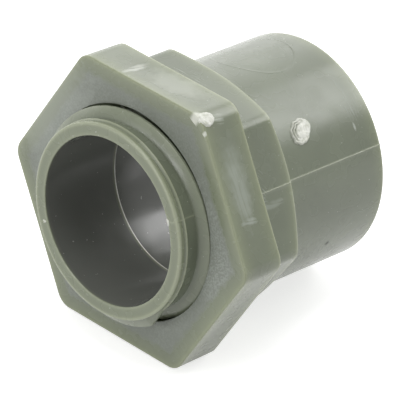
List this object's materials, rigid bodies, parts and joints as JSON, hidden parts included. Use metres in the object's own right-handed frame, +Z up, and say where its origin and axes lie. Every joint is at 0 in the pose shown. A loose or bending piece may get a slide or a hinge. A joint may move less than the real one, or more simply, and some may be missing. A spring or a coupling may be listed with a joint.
{
  "type": "pvc conduit connector",
  "caption": "Straight connector for rigid plastic conduit: threaded spigot with a loose hexagonal locknut, hexagonal flange and plain cement-on socket, for a box knockout.",
  "frame": {"origin": "on the bore's axis, at the flange face that seats on the box wall", "axes": "+Z up, +Y from the spigot towards the socket as it lies, the bore's axis dipping below +Y by the resting lean because the connector lies on the locknut's flat edge and the socket's rim, +X across, along the locknut's lower flat"},
  "size_m": [0.0308, 0.0282, 0.0275],
  "materials": {
    "body_plastic": "satin moulded, grey green",
    "locknut_plastic": "satin moulded, grey green, with a finely grained front face"
  },
  "bodies": {
    "connector_body": {"connector_body": "body_plastic"},
    "locknut": {"locknut": "locknut_plastic"}
  },
  "joints": [
    {"name": "locknut_travel", "type": "slide", "parent": "connector_body", "child": "locknut", "axis": [0, -0.992, 0.1261], "range_m": [0, 0.00975]}
  ]
}
